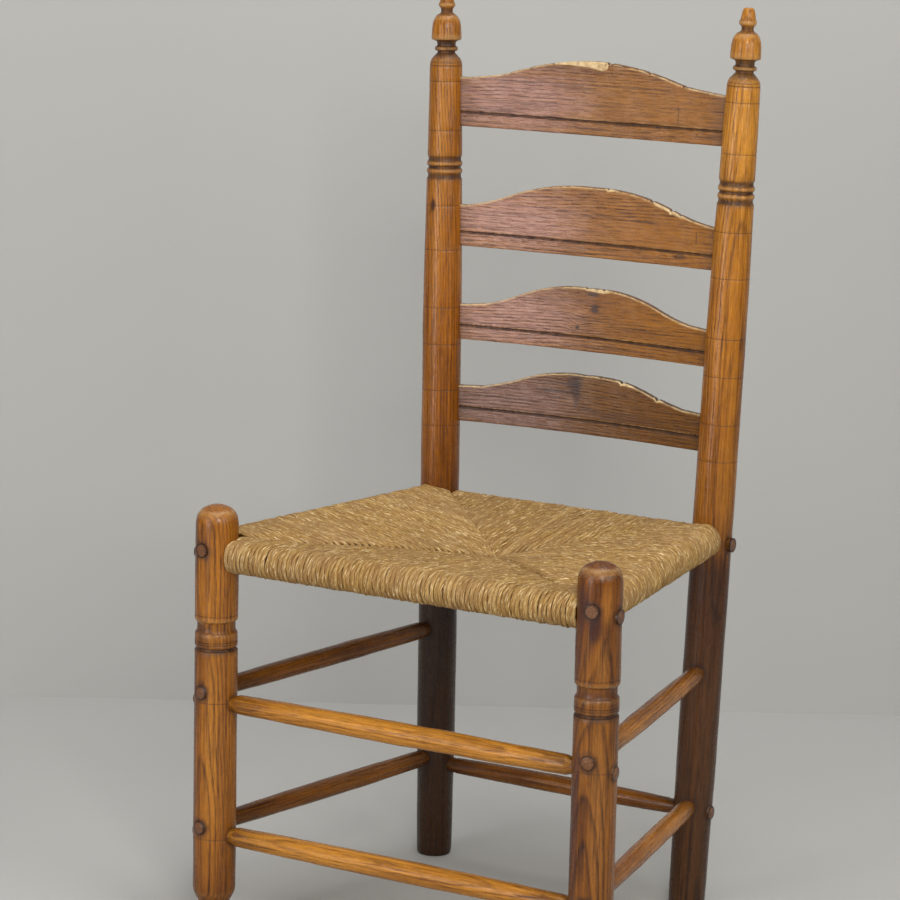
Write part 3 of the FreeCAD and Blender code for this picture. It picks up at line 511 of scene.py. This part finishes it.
posts = {
    "front_post_left": {**honey, "pith": (0.02, 0.10), "ring": 0.0034, "seed": (3, 1, 0), "scribes": frontScribes,
        "toneByHeight": [(0.0, (0.45, 0.42, 0.5)), (0.06, (0.6, 0.55, 0.6)), (0.14, (0.9, 0.88, 0.9)),
                   (0.3, untinted), (0.38, untinted), (0.44, (0.88, 0.84, 0.74)), (1.0, (0.88, 0.84, 0.74))],
        "hazes": [((-224, -212, 200), (9, 10, 130), (0.50, 0.21, 0.030), 0.6),
                  ((-222, -211, 400), (8, 10, 60), (0.44, 0.18, 0.02), 0.3)],
        "patches": [((-252, -203, 215), (13, 13, 215), paintedShadePlum, 0.6), ((-250, -205, 425), (12, 12, 42), paintedShadePlum, 0.6),
                    ((-240, -208, 335), (12, 10, 9), paintedShadePlum, 0.5), ((-250, -176, 300), (8, 6, 260), paintedShadePlum, 0.4),
                    ((-214, -203, 250), (6, 10, 300), paintedShadePlum, 0.25)]},
    "front_post_right": {**russet, "pith": (0.004, 0.035), "ring": 0.0034, "seed": (9, 4, 0), "lean": (0.03, 0.06),
        "grain": 0.85, "scribes": frontScribes,
        "toneByHeight": [(0.0, (0.6, 0.55, 0.6)), (0.12, (0.9, 0.88, 0.9)), (0.3, untinted), (0.38, untinted),
                   (0.42, (0.78, 0.7, 0.66)), (1.0, (0.74, 0.66, 0.6))],
        "hazes": [((252, -205, 430), (7, 8, 24), (0.42, 0.170, 0.022), 0.8),
                  ((250, -207, 372), (9, 9, 30), (0.36, 0.140, 0.022), 0.8),
                  ((249, -208, 210), (12, 9, 110), (0.33, 0.130, 0.024), 0.75),
                  ((247, -208, 60), (13, 9, 50), (0.30, 0.115, 0.022), 0.6)],
        "patches": [((226, -208, 428), (12, 11, 34), paintedShadePlum, 0.85),
                    ((241, -212, 408), (9, 8, 22), (0.035, 0.012, 0.012), 0.75),
                    ((224, -207, 385), (9, 10, 40), paintedShadePlum, 0.55), ((222, -206, 200), (9, 12, 200), paintedShadePlum, 0.6),
                    ((242, -211, 335), (18, 10, 7), paintedShadePlum, 0.4)]},
    "back_post_left": {**honey, "pith": (0.09, 0.05), "ring": 0.0034, "seed": (5, 7, 0), "scribes": backScribes,
        # below the seat this tone is partly painted shade from the seat
        "toneByHeight": [(0.0, (0.10, 0.10, 0.22)), (0.385, (0.10, 0.10, 0.22)), (0.44, (0.62, 0.55, 0.5)),
                   (0.52, (0.84, 0.78, 0.7)), (0.66, (0.88, 0.80, 0.72)), (0.84, (0.98, 0.96, 0.94)), (1.0, untinted)],
        "hazes": [((-180, 165, 760), (9, 40, 240), (0.50, 0.21, 0.028), 0.6)],
        "patches": [((-185.8, 170.2, 765), (4, 6, 10), blackMark, 0.85),
                    ((-208, 190, 700), (10, 12, 330), paintedShadePlum, 0.5)]},
    "back_post_right": {**golden, "pith": (-0.07, 0.06), "ring": 0.0034, "seed": (1, 9, 0), "scribes": backScribes,
        # below the seat this tone is partly painted shade from the seat
        "toneByHeight": [(0.0, (0.13, 0.12, 0.24)), (0.385, (0.16, 0.13, 0.25)), (0.43, (0.5, 0.42, 0.4)),
                   (0.5, (0.66, 0.58, 0.5)), (0.7, (0.82, 0.74, 0.68)), (0.82, untinted), (1.0, untinted)],
        "patches": [((197, 167, 336), (5, 6, 10), (0.03, 0.012, 0.01), 0.85),
                    ((206, 180, 640), (5, 8, 14), (0.06, 0.02, 0.01), 0.6),
                    ((205, 190, 420), (5, 20, 330), paintedShadePlum, 0.35)]},
}
for name, look in posts.items():
    foot, head = ends(name)
    front = name.startswith("front")
    foot = Vector(foot) if front else Vector((math.copysign(backFoot[0], foot[0]), backFoot[1], 0))
    look["from"], look["to"] = tuple(foot), head
    outline = turning["frontFoot"] + turning["frontShaft"] + turning["frontDome"] if front else \
        turning["backShaft"] + turning["backRings"] + turning["backNeck"]
    piece, grime, worn = turnPiece(name, foot, head, outline, look["scribes"], frontDirtAndShade if front else backDirtAndShade)
    roughen(piece, 0.06, 0.0009)
    points = np.array([v.co[:] for v in piece.data.vertices])
    # the feet stand on the floor, not below it
    points[:, 2] = np.maximum(points[:, 2], 0)
    piece.data.vertices.foreach_set("co", points.ravel())
    for a, b in rungEnds.values():
        # dirt and painted shade round each hole, where the rungs meet the post
        a, b = np.array(a), np.array(b)
        way = (b - a) / np.linalg.norm(b - a)
        beside = points - a
        gap = np.linalg.norm(beside - np.outer(beside @ way, way), axis=1)
        reach = (beside @ way > -0.002) & (beside @ way < np.linalg.norm(b - a) + 0.002)
        grime = np.maximum(grime, (1 - smoothStep(gap, 0.0085, 0.0135)) * 0.8 * reach)
    finishPiece(piece, name, makeWood(name, look), grime, worn)
print("posts turned")

stretchers = {
    # end radius, swell, tenon lengths inside the two posts, colours
    "front_upper_stretcher": (10.5, 1.7, 48.2, 48.2, golden),
    "front_lower_stretcher": (10.5, 1.7, 48.2, 48.2, golden),
    "left_upper_stretcher": (9.8, 1.13, 48.2, 45.8, russet),
    "left_lower_stretcher": (9.8, 1.13, 48.2, 45.8, russet),
    "right_upper_stretcher": (9.8, 1.13, 48.2, 45.8, honey),
    "right_lower_stretcher": (9.8, 1.13, 48.2, 45.8, honey),
    "back_stretcher": (9.2, 1.3, 45.8, 45.8, russet),
}
for i, name in enumerate(rungNames):
    a, b = rungEnds[name]
    look = {"from": a, "to": b, "rung": True, "ring": 0.003,
            "seed": (i * 3.1, i * 1.7, i * 2.3), "pith": (0.03 + 0.01 * (i % 3), 0.06)}
    if name not in stretchers:
        look.update(russet)
        dress(name, makeWood(name, look))
        continue
    endRadius, swell, tenonA, tenonB, tones = stretchers[name]
    look.update(tones)
    long = (Vector(b) - Vector(a)).length * 1000
    low, high = tenonA + 9, long - tenonB - 9
    barrel = []
    for k in range(21):
        t = k / 20
        barrel.append((low + (high - low) * t, endRadius + swell * 4 * t * (1 - t)))
    outline = [(0, 7.3), (0.7, 8), (tenonA, 8), (tenonA + 3, 8.8), (tenonA + 6, endRadius - 0.7)]
    outline += barrel
    outline += [(long - tenonB - 6, endRadius - 0.7), (long - tenonB - 3, 8.8), (long - tenonB, 8),
                (long - 0.7, 8), (long, 7.3)]
    piece, grime, worn = turnPiece(name, a, b, outline, longest=6.0, steps=40)
    roughen(piece, 0.035, 0.0011)
    finishPiece(piece, name, makeWood(name, look), grime * 0, worn * 0, 50)
print("rungs turned")

slatHalf = 0.165                     # from the middle to where a slat enters its post
slatVoxel = 0.0009
slats = {
    # bow in m; chips in the top edge in mm: place, depth, half width, lean in degrees; wear along the top edge: place
    # and width
    "top_slat": {"bow": 0.008, "sink": 0.005, "tone": 0.96, "chips": [
        (-105, 2.6, 2.0, 35), (-53, 2.2, 5, -18), (18.5, 7.5, 2.6, 6), (24, 3, 5, 30), (36, 1.6, 6, -12),
        (55, 1.8, 5, 14), (71, 2.6, 4, 25), (112.5, 4.2, 2.6, -12), (119, 2.2, 5, 25), (148, 1.4, 8, 8), (-80, 1.2, 6, 8)],
        "worn": [(-54, 0), (-40, 2.5), (-10, 6.5), (10, 10), (16, 8), (18.5, 0)],
        "marks": [((-25, 195, 906), (40, 30, 3), 0.25), ((108.3, 190, 884), (0.9, 30, 15), 0.7)]},
    "second_slat": {"bow": 0.011, "sink": 0.0055, "tone": 1.06, "chips": [
        (23.1, 2.0, 3, 10), (80, 1.8, 4, 25), (93, 2.2, 4, -25), (104, 1.8, 4, 10), (116, 1.8, 3, 30)],
        "worn": [(18, 0), (22, 3), (28, 2), (34, 0), (78, 0), (84, 3), (118, 3), (122, 0)],
        "marks": [((116.4, 190, 729.8), (12, 30, 4), 0.6), ((137.6, 190, 752), (0.9, 30, 10), 0.7),
                  ((70, 190, 764), (22, 30, 2.5), 0.6)]},
    "third_slat": {"bow": 0.017, "sink": 0.0065, "tone": 0.95, "chips": [
        (-2, 1.6, 3.5, 10), (8, 2.0, 3, -20), (20.4, 2.6, 3.5, 15), (60, 1.2, 3, 0)],
        "worn": [(-8, 0), (-3, 2), (14, 4), (26, 3), (30, 0)],
        "marks": [((8.2, 192, 659.1), (8, 30, 7), 0.9), ((6, 192, 676), (10, 30, 4), 0.8),
                  ((-12.6, 192, 637.8), (3.6, 30, 3.4), 0.9),
                  ((60, 190, 640), (50, 30, 5), 0.25)]},
    "bottom_slat": {"bow": 0.016, "sink": 0.0065, "tone": 0.54, "chips": [
        (48.3, 2.2, 4, 10), (56, 1.6, 3, -20), (95.4, 2.2, 4.5, 15), (20, 1.4, 4, 0)],
        "worn": [(40, 0), (48, 3), (60, 2), (64, 0), (88, 0), (95, 3), (104, 0)],
        "marks": [((-12, 192, 572), (12, 30, 15), 0.7), ((-10, 192, 562), (6, 30, 22), 0.65),
                  ((-30, 192, 562), (40, 30, 2.4), 0.7), ((-24, 192, 572), (30, 30, 1.8), 0.6),
                  ((10, 192, 545), (26, 30, 1.6), 0.6), ((60, 192, 540), (60, 30, 7), 0.35)]},
}
for i, (name, look) in enumerate(slats.items()):
    low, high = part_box(name)
    back = (low.y + high.y) / 2
    bpy.ops.object.select_all(action="DESELECT")
    piece = nodes[name].copy()
    piece.data = nodes[name].data.copy()
    piece.data.materials.clear()
    piece.name = name + "_worn"
    scene.collection.objects.link(piece)
    piece.hide_render = piece.hide_viewport = False
    piece.select_set(True)
    bpy.context.view_layer.objects.active = piece
    bpy.ops.object.mode_set(mode="EDIT")
    bpy.ops.mesh.select_all(action="SELECT")
    bpy.ops.mesh.remove_doubles(threshold=0.00001)
    bpy.ops.object.mode_set(mode="OBJECT")
    points = np.array([v.co[:] for v in piece.data.vertices])
    # the photo shows the boards further back than the nodes, most of all at their ends
    points[:, 1] += look["sink"] * (0.5 + 0.5 * (points[:, 0] / slatHalf) ** 2)
    piece.data.vertices.foreach_set("co", points.ravel())
    rim = points[points[:, 2] > (low.z + high.z) / 2 - 0.012]
    for x, deep, half, lean in look["chips"]:
        crest = rim[np.abs(rim[:, 0] - x / 1000) < 0.004][:, 2].max()
        bpy.ops.object.select_all(action="DESELECT")
        # a wedge right through the board's edge, a little askew
        bpy.ops.mesh.primitive_cylinder_add(vertices=4, radius=half / 1000, depth=0.06, location=(0, 0, 0),
                                            rotation=(math.radians(90), 0, 0))
        chip = bpy.context.active_object
        bpy.ops.object.mode_set(mode="EDIT")
        bpy.ops.mesh.select_all(action="SELECT")
        bpy.ops.transform.resize(value=(1, 1, max(1.0, deep * 1.5 / half)), center_override=(0, 0, 0))
        bpy.ops.object.mode_set(mode="OBJECT")
        askew = Matrix.Rotation(math.radians(lean), 4, "Y") @ Matrix.Rotation(math.radians(lean * 0.5), 4, "Z")
        raised = crest + (max(half, deep * 1.5) - deep) / 1000
        chip.matrix_world = Matrix.Translation((x / 1000, back, raised)) @ askew @ chip.matrix_world
        cutter = piece.modifiers.new("chip", "BOOLEAN")
        cutter.operation = "DIFFERENCE"
        cutter.object = chip
        cutter.solver = "EXACT"
        bpy.context.view_layer.objects.active = piece
        bpy.ops.object.modifier_apply(modifier=cutter.name)
        bpy.data.objects.remove(chip)
    bpy.ops.object.select_all(action="DESELECT")
    piece.select_set(True)
    remesh = piece.modifiers.new("even", "REMESH")
    remesh.mode = "VOXEL"
    remesh.voxel_size = slatVoxel
    bpy.ops.object.modifier_apply(modifier=remesh.name)
    soften = piece.modifiers.new("soften", "SMOOTH")
    soften.iterations = 2
    bpy.ops.object.modifier_apply(modifier=soften.name)
    roughen(piece, 0.03, 0.0006)
    print(name, "faces", len(piece.data.polygons))
    points = np.array([v.co[:] for v in piece.data.vertices]) * 1000
    column = np.clip(((points[:, 0] + 200) / 2).astype(int), 0, 199)
    top, bottom, face = np.full(200, -1e9), np.full(200, 1e9), np.full(200, 1e9)
    np.maximum.at(top, column, points[:, 2])
    np.minimum.at(bottom, column, points[:, 2])
    np.minimum.at(face, column, points[:, 1])
    below = top[column] - points[:, 2]
    above = points[:, 2] - bottom[column]
    sunk = points[:, 1] - face[column]
    # the moulding's groove goes dark: painted shade in the recess
    groove = smoothStep(sunk, 0.35, 1.1) * (sunk < 2.4) * (below > 4) * (above > 1.5) * (above < 18)
    # the ends go dark by the posts: painted shadow where the slats meet them
    near = smoothStep(np.abs(points[:, 0]), 138, 172) * 0.42
    wide = np.interp(points[:, 0], *zip(*look["worn"]))
    # the front arris goes pale: wear and painted highlight
    edge = (1 - smoothStep(below, 1.2, 2.4)) * (sunk < 2.2)
    rubbed = (wide > 0.3) * (1 - smoothStep(below, wide * 0.8, wide + 0.8)) * 0.95 * (sunk < 4)
    worn = np.maximum(edge * 0.65, rubbed)
    # the top face goes dark: painted shade
    upper = (1 - smoothStep(below, 1.0, 3.0)) * smoothStep(sunk, 2.4, 3.4) * 0.7
    # a pale line along the top of the moulding: painted highlight
    worn = np.maximum(worn, 0.35 * (1 - smoothStep(np.abs(sunk) + np.abs(above - 18), 0.4, 1.4)))
    # pink is a painted reflection for the slats' left halves, gold the tone of their right halves beside it
    pale, mid, deep, pink, gold = [tuple(c * look["tone"] for c in tone) for tone in (
        (0.31, 0.128, 0.022), (0.20, 0.072, 0.012), (0.050, 0.016, 0.007), (0.42, 0.215, 0.160), (0.33, 0.125, 0.012))]
    midZ = (low.z + high.z) * 500
    look.update({
        "pale": pale, "mid": mid, "deep": deep, "from": (low.x, back, low.z), "to": (high.x, back, low.z),
        "seed": (i * 2.3, i * 5.1, 0), "pith": (0.02 + 0.01 * i, 0.05), "lean": (0.02, 0.01),
        "rough": 0.22, "gloss": 0.42, "wornColour": (0.74, 0.54, 0.27), "dash": 0.8, "streak": 0.45, "grain": 0.5,
        "hazes": [((-95, 195, midZ - 6), (105, 90, 42), pink, 0.85), ((95, 195, midZ), (110, 90, 60), gold, 0.75)],
        "patches": [(at, size, (0.035, 0.015, 0.012), share) for at, size, share in look["marks"]],
        # the grain bends round the small knots only
        "knots": [(at, tuple(s * 2 for s in size), 1.5) for at, size, share in look["marks"]
                  if size[0] < 9 and size[2] < 9],
    })
    finishPiece(piece, name, makeWood(name, look), np.maximum(np.maximum(groove, near), upper), worn, 60)
print("wood laid on", len(posts) + len(rungNames) + len(slats), "pieces")


# rush seat: each strand is two plies, laid over a rail and in to its diagonal seam
rush = {
    "frontStrands": 80,
    "backStrands": 59,
    "sideStrands": 62,
    "strandRadius": 0.0019,          # of each of a strand's two plies
    "plyApart": 0.00095,
    "rollRadius": 0.0183,
    "dishTop": 0.409,
    "dishBottom": 0.391,
    "swell": 0.004,
    "bridge": 0.0055,              # half of the straight seam at the middle
    "square": 0.029,               # where the front seams turn to 45 degrees
    "postGap": 0.0195,
    "turn": 0.055,                 # length of one twist
    "step": 0.0042,
    "lobes": 3,
    "profile": 8,
    "lobeDepth": 0.12,
}
random.seed(11)

frontEnds = rungEnds["front_seat_rail"]
backEnds = rungEnds["back_seat_rail"]
leftEnds = rungEnds["left_seat_rail"]
frontY = frontEnds[0][1]
backY = backEnds[0][1]
crossZ = frontEnds[0][2]
sideZ = leftEnds[0][2]
sideSlope = (abs(leftEnds[1][0]) - abs(leftEnds[0][0])) / (leftEnds[1][1] - leftEnds[0][1])
frontHalf = abs(leftEnds[0][0]) - sideSlope * (leftEnds[0][1] - frontY)
backHalf = frontHalf + sideSlope * (backY - frontY)
squareY = frontY + rush["square"]
middleY = squareY + backHalf - rush["bridge"]


def wrapPath(seam, reach, axisZ, over, climb=0.0):
    # one strand in its own plane: inward distance from the rail's axis, and height
    r = rush["strandRadius"]
    roll = rush["rollRadius"]
    top, bottom = rush["dishTop"], rush["dishBottom"]

    def upper(d):
        t = d / reach
        sag = (top - axisZ - roll) * t + rush["swell"] * 4 * t * (1 - t)
        return axisZ + roll + sag - r + climb * (d / seam) ** 2

    def lower(d):
        t = d / reach
        return axisZ - roll + (bottom - axisZ + roll) * t - rush["swell"] * 4 * t * (1 - t) + r

    if over:
        tips = [(0.0072, -0.0125), (0.0070, -0.0075), (0.0052, -0.0028), (0.0020, 0.0004)]
    else:
        tips = [(0.0035, -0.0100), (-0.0005, -0.0075), (-0.0045, -0.0038), (-0.0080, -0.0010)]
    tips = [(seam + past, dz) for past, dz in tips]
    path = [(d, lower(d) - dz) for d, dz in tips]
    count = max(2, int(seam / 0.02))
    path += [(seam * k / count, lower(seam * k / count)) for k in range(count - 1, 0, -1)
             if seam * k / count < tips[-1][0] - 0.004]
    for k in range(13):
        angle = math.pi * (-0.5 - k / 12)
        path.append((math.cos(angle) * (roll - r), axisZ + math.sin(angle) * (roll - r)))
    path += [(seam * k / count, upper(seam * k / count)) for k in range(1, count)
             if seam * k / count < tips[-1][0] - 0.004]
    path += [(d, upper(d) + dz) for d, dz in reversed(tips)]
    return path


def resample(path, step):
    points = np.array(path)
    gaps = np.linalg.norm(np.diff(points, axis=0), axis=1)
    along = np.concatenate([[0], np.cumsum(gaps)])
    count = max(8, int(along[-1] / step))
    marks = np.linspace(0, along[-1], count)
    return np.stack([np.interp(marks, along, points[:, k]) for k in range(2)], 1), marks


def rushPanel(name, strands):
    # strands: list of (path in its plane, function from (inward, height, sideways) to a point)
    bpy.ops.object.select_all(action="DESELECT")
    profileData = bpy.data.curves.new(name + "Profile", "CURVE")
    profileData.dimensions = "2D"
    ring = profileData.splines.new("POLY")
    ring.points.add(rush["profile"] - 1)
    for k in range(rush["profile"]):
        angle = 2 * math.pi * k / rush["profile"]
        size = rush["strandRadius"] * (1 + rush["lobeDepth"] * math.cos(rush["lobes"] * angle))
        ring.points[k].co = (math.cos(angle) * size, math.sin(angle) * size, 0, 1)
    ring.use_cyclic_u = True
    profile = bpy.data.objects.new(name + "Profile", profileData)
    scene.collection.objects.link(profile)

    curve = bpy.data.curves.new(name, "CURVE")
    curve.dimensions = "3D"
    curve.bevel_mode = "OBJECT"
    curve.bevel_object = profile
    curve.use_fill_caps = False
    curve.twist_mode = "MINIMUM"
    fibre, tone = [], []
    for path, place in strands:
        flat, marks = resample(path, rush["step"])
        sway = [(random.uniform(0.05, 0.12), random.uniform(0, 6.28), random.uniform(0.0001, 0.00032)) for _ in range(2)]
        start, slow = random.uniform(0, 6.28), random.uniform(0.10, 0.19)
        for ply in (-1, 1):
            spline = curve.splines.new("POLY")
            spline.points.add(len(flat) - 1)
            phase = random.uniform(0, 6.28)
            turn = rush["turn"] * random.uniform(0.7, 1.4)
            fat = random.uniform(0.88, 1.12)
            rise = random.uniform(-0.0004, 0.0003)
            waves = sway + [(random.uniform(0.012, 0.03), random.uniform(0, 6.28), random.uniform(0.0001, 0.00035))]
            shade = random.random()
            for k, ((d, h), mark) in enumerate(zip(flat, marks)):
                # the two plies lie side by side and lean over one another a little
                lean = 0.75 * math.sin(start + mark / slow * 6.28)
                side = sum(math.sin(mark / length * 6.28 + at) * size for length, at, size in waves)
                lift = sum(math.cos(mark / length * 5.1 + at * 2) * size for length, at, size in waves) * 0.5 + rise
                side += ply * rush["plyApart"] * math.cos(lean)
                lift += (ply * math.sin(lean) - 1) * rush["plyApart"] * 0.45
                spline.points[k].co = (*place(d, h + lift, side), 1)
                spline.points[k].tilt = phase + mark / turn * 2 * math.pi
                end = min(k, len(flat) - 1 - k)
                swell = fat * (1 + 0.10 * math.sin(mark / 0.011 + phase * 3) * math.sin(mark / 0.037 + phase))
                spline.points[k].radius = 0.0004 if end == 0 else swell * min(1, 0.55 + 0.25 * end)
                for n in range(rush["profile"]):
                    angle = 2 * math.pi * n / rush["profile"]
                    fibre.append((math.cos(angle) + shade * 40, math.sin(angle), mark))
                    tone.append(shade)
    piece = bpy.data.objects.new(name, curve)
    scene.collection.objects.link(piece)
    piece.select_set(True)
    bpy.context.view_layer.objects.active = piece
    bpy.ops.object.convert(target="MESH")
    piece = bpy.context.active_object
    mesh = piece.data
    print(name, "vertices", len(mesh.vertices), "expected", len(tone))
    layer = mesh.attributes.new("fibre", "FLOAT_VECTOR", "POINT")
    layer.data.foreach_set("vector", np.array(fibre, np.float32).ravel())
    layer = mesh.attributes.new("tone", "FLOAT", "POINT")
    layer.data.foreach_set("value", np.array(tone, np.float32))
    bpy.ops.object.mode_set(mode="EDIT")
    bpy.ops.mesh.select_all(action="SELECT")
    bpy.ops.mesh.remove_doubles(threshold=0.00002)
    bpy.ops.mesh.normals_make_consistent(inside=False)
    bpy.ops.object.mode_set(mode="OBJECT")
    bpy.ops.object.shade_smooth()
    bpy.data.objects.remove(profile)
    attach(piece, "root")
    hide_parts("rush_seat")
    return piece


def makeRush():
    material, shader, start, output = newMaterial("twistedRush")
    strand = start.node("Attribute", {"attribute_name": "fibre"}, out="Vector")
    shade = start.node("Attribute", {"attribute_name": "tone"}, out="Fac")
    spot = start.node("TexCoord", out="Object")
    # each ply is a few leaves twisted together, with fine ribs along them
    leaf = strand.stretch((1.3, 1.3, 22)).noise(1.0, 1.0)
    fine = strand.stretch((4, 4, 60)).noise(1.0, 2.0, 0.6)
    ribs = strand.stretch((3.2, 3.2, 9)).noise(1.0, 1.0)
    dash = strand.stretch((1.7, 1.7, 85)).noise(1.0, 2.0, 0.6)
    patch = spot.noise(16, 3.0, 0.6)
    colour = leaf.smooth(0.36, 0.62).blend((0.25, 0.130, 0.034), (0.45, 0.265, 0.074))
    colour = ribs.smooth(0.50, 0.66, 0.0, 0.6).blend(colour, (0.60, 0.385, 0.125))
    # the darker ribs are painted shade in the grooves between them
    colour = ribs.smooth(0.34, 0.48, 0.75, 0.0).blend(colour, (0.16, 0.074, 0.018))
    colour = fine.smooth(0.28, 0.46, 0.7, 0.0).blend(colour, (0.14, 0.066, 0.018))
    colour = (shade.smooth(0.45, 1.0, 0.0, 0.55)).blend(colour, (0.34, 0.185, 0.058))
    colour = (shade.smooth(0.0, 0.3, 0.4, 0.0)).blend(colour, (0.62, 0.42, 0.17))
    # the pale dashes are painted highlight, glints on the leaves
    colour = dash.smooth(0.575, 0.655, 0.0, 0.85).blend(colour, (0.90, 0.70, 0.38))
    colour = patch.smooth(0.35, 0.62, 0.4, 0.0).blend(colour, (0.32, 0.185, 0.080))
    height = fine * 0.7 + ribs * 0.9 + leaf * 0.6
    bump = start.node("Bump", {}, {"Strength": 0.7, "Distance": 0.0008, "Height": height})
    plug(shader, Base_Color=colour, Roughness=0.5 + fine * 0.2, Normal=bump)
    shader.inputs["Specular IOR Level"].default_value = 0.25
    return material


rushMaterial = makeRush()
frontClear = frontHalf - rush["postGap"]
backClear = backHalf - rush["postGap"]
panels = {"rush_front": [], "rush_back": [], "rush_left": [], "rush_right": []}
reachFront = middleY - frontY
reachBack = backY - middleY
for i in range(rush["frontStrands"]):
    x = -frontClear + (i + 0.5) * 2 * frontClear / rush["frontStrands"]
    seam = np.interp(abs(x), [rush["bridge"], backHalf, frontHalf], [middleY, squareY, frontY]) - frontY
    seam = max(seam, rush["postGap"] + 0.018)
    # near the posts the front strands climb to meet the higher side panels
    climb = 0.0055 * float(np.interp(abs(x) / frontHalf, [0.62, 0.85], [0, 1]))
    panels["rush_front"].append((wrapPath(float(seam), reachFront, crossZ, False, climb),
                                 lambda d, h, s, x=x: (x + s, frontY + d, h)))
for i in range(rush["backStrands"]):
    x = -backClear + (i + 0.5) * 2 * backClear / rush["backStrands"]
    seam = backY - np.interp(abs(x), [rush["bridge"], backHalf], [middleY, backY])
    panels["rush_back"].append((wrapPath(float(seam), reachBack, crossZ, False),
                                lambda d, h, s, x=x: (x + s, backY - d, h)))
sideSpan = backY - frontY - 2 * rush["postGap"]
for i in range(rush["sideStrands"]):
    y = frontY + rush["postGap"] + (i + 0.5) * sideSpan / rush["sideStrands"]
    railX = frontHalf + sideSlope * (y - frontY)
    seamX = float(np.interp(y, [frontY, squareY, middleY, backY], [frontHalf, backHalf, rush["bridge"], backHalf]))
    # and the side strands beside the front posts drop towards the front ones
    drop = -0.0065 * float(np.interp(y - frontY, [rush["postGap"], 0.09], [1, 0]))
    for name, side in (("rush_left", -1), ("rush_right", 1)):
        panels[name].append((wrapPath(railX - seamX, railX, sideZ, True, drop),
                             lambda d, h, s, y=y, side=side, railX=railX: (side * (railX - d), y + s, h)))
for name, strands in panels.items():
    piece = rushPanel(name, strands)
    piece.data.materials.clear()
    piece.data.materials.append(rushMaterial)
for word in ("front", "back", "left", "right"):
    dress(word + "_packing", rushMaterial)
print("rush seat woven:", sum(len(s) for s in panels.values()), "strands")
